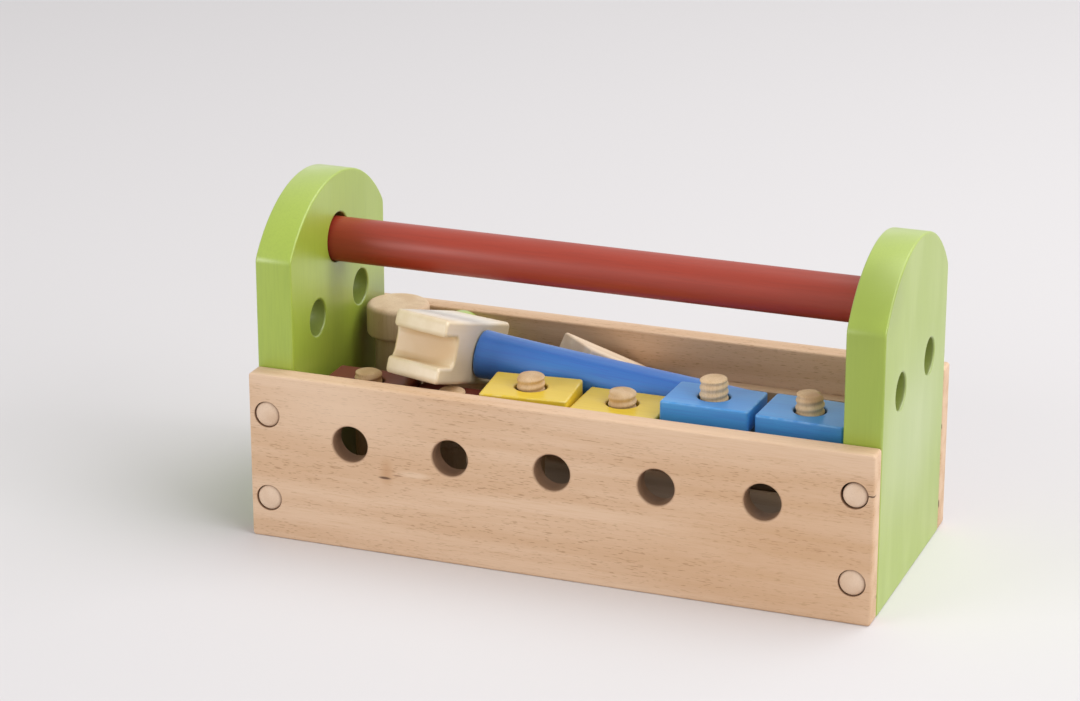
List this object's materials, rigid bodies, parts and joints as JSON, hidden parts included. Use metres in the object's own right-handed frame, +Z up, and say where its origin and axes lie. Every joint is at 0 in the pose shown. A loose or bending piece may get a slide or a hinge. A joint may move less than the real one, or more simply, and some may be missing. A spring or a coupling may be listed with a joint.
{
  "type": "toy tool box",
  "caption": "Wooden toy tool box with pegged boards, arched green end panels and a loose round carrying bar, holding a hammer, bolts with four-sided nuts and loose slats.",
  "frame": {"origin": "middle of the underside of the box", "axes": "+X along the box to the right, +Y from the front board to the back board, +Z up"},
  "size_m": [0.26, 0.113, 0.1395],
  "materials": {
    "beech": "sanded beech, unfinished",
    "pale_wood": "sanded pale wood, unfinished",
    "maple": "sanded pale wood, clear coat",
    "green_lacquer": "thin satin green lacquer on wood",
    "red_lacquer": "thin satin red lacquer on wood",
    "yellow_lacquer": "thin satin yellow lacquer on wood",
    "blue_lacquer": "thin satin blue lacquer on wood"
  },
  "bodies": {
    "box": {"front_board": "beech", "back_board": "beech", "left_end_panel": "green_lacquer", "right_end_panel": "green_lacquer", "bottom_board": "beech", "front_peg_upper_left": "pale_wood", "front_peg_lower_left": "pale_wood", "front_peg_upper_right": "pale_wood", "front_peg_lower_right": "pale_wood", "back_peg_upper_left": "pale_wood", "back_peg_lower_left": "pale_wood", "back_peg_upper_right": "pale_wood", "back_peg_lower_right": "pale_wood"},
    "bar": {"carrying_bar": "red_lacquer"},
    "red_left_nut": {"red_left_nut": "red_lacquer"},
    "red_left_bolt": {"red_left_bolt": "pale_wood"},
    "red_right_nut": {"red_right_nut": "red_lacquer"},
    "red_right_bolt": {"red_right_bolt": "pale_wood"},
    "yellow_left_nut": {"yellow_left_nut": "yellow_lacquer"},
    "yellow_left_bolt": {"yellow_left_bolt": "pale_wood"},
    "yellow_right_nut": {"yellow_right_nut": "yellow_lacquer"},
    "yellow_right_bolt": {"yellow_right_bolt": "pale_wood"},
    "blue_left_nut": {"blue_left_nut": "blue_lacquer"},
    "blue_left_bolt": {"blue_left_bolt": "pale_wood"},
    "blue_right_nut": {"blue_right_nut": "blue_lacquer"},
    "blue_right_bolt": {"blue_right_bolt": "pale_wood"},
    "hammer": {"hammer_head": "maple", "hammer_handle": "blue_lacquer"},
    "post": {"capped_post": "pale_wood"},
    "slat": {"edge_slat": "pale_wood"},
    "strip": {"green_strip": "green_lacquer"},
    "plank": {"slanted_plank": "pale_wood"}
  },
  "joints": [
    {"name": "bar_turn", "type": "hinge", "parent": "box", "child": "bar", "pos_m": [0, 0, 0.1115], "axis": [1, 0, 0], "continuous": true},
    {"name": "red_left_bolt_turn", "type": "hinge", "parent": "box", "child": "red_left_bolt", "pos_m": [-0.09168, -0.02375, 0.0093], "axis": [0, 0, 1], "range_deg": [0, 1080]},
    {"name": "red_left_nut_travel", "type": "slide", "parent": "box", "child": "red_left_nut", "axis": [0, 0, 1], "range_m": [-0.0091, 0]},
    {"name": "red_right_bolt_turn", "type": "hinge", "parent": "box", "child": "red_right_bolt", "pos_m": [-0.05519, -0.02375, 0.0093], "axis": [0, 0, 1], "range_deg": [0, 1080]},
    {"name": "red_right_nut_travel", "type": "slide", "parent": "box", "child": "red_right_nut", "axis": [0, 0, 1], "range_m": [-0.0091, 0]},
    {"name": "yellow_left_nut_lift", "type": "slide", "parent": "box", "child": "yellow_left_nut", "axis": [0, 0, 1], "range_m": [0, 0.135]},
    {"name": "yellow_left_bolt_turn", "type": "hinge", "parent": "yellow_left_nut", "child": "yellow_left_bolt", "pos_m": [-0.02023, -0.02544, 0.0093], "axis": [0, 0, 1], "continuous": true},
    {"name": "yellow_right_nut_lift", "type": "slide", "parent": "box", "child": "yellow_right_nut", "axis": [0, 0, 1], "range_m": [0, 0.135]},
    {"name": "yellow_right_bolt_turn", "type": "hinge", "parent": "yellow_right_nut", "child": "yellow_right_bolt", "pos_m": [0.01779, -0.02375, 0.0093], "axis": [0, 0, 1], "continuous": true},
    {"name": "blue_left_nut_lift", "type": "slide", "parent": "box", "child": "blue_left_nut", "axis": [0, 0, 1], "range_m": [0, 0.135]},
    {"name": "blue_left_bolt_turn", "type": "hinge", "parent": "blue_left_nut", "child": "blue_left_bolt", "pos_m": [0.05572, -0.0239, 0.0093], "axis": [0, 0, 1], "continuous": true},
    {"name": "blue_right_nut_lift", "type": "slide", "parent": "box", "child": "blue_right_nut", "axis": [0, 0, 1], "range_m": [0, 0.135]},
    {"name": "blue_right_bolt_turn", "type": "hinge", "parent": "blue_right_nut", "child": "blue_right_bolt", "pos_m": [0.09492, -0.0244, 0.0093], "axis": [0, 0, 1], "continuous": true},
    {"name": "hammer_lift", "type": "slide", "parent": "box", "child": "hammer", "axis": [0, 0, 1], "range_m": [0, 0.014]},
    {"name": "post_lift", "type": "slide", "parent": "box", "child": "post", "axis": [0, 0, 1], "range_m": [0, 0.135]},
    {"name": "slat_lift", "type": "slide", "parent": "box", "child": "slat", "axis": [0, 0, 1], "range_m": [0, 0.135]},
    {"name": "strip_lift", "type": "slide", "parent": "box", "child": "strip", "axis": [0, 0, 1], "range_m": [0, 0.135]},
    {"name": "plank_lift", "type": "slide", "parent": "box", "child": "plank", "axis": [0, 0, 1], "range_m": [0, 0.1]}
  ],
  "couplings": [
    {"joint": "red_left_nut_travel", "follows": "red_left_bolt_turn", "m_per_rad": -0.00047746},
    {"joint": "red_right_nut_travel", "follows": "red_right_bolt_turn", "m_per_rad": -0.00047746}
  ]
}
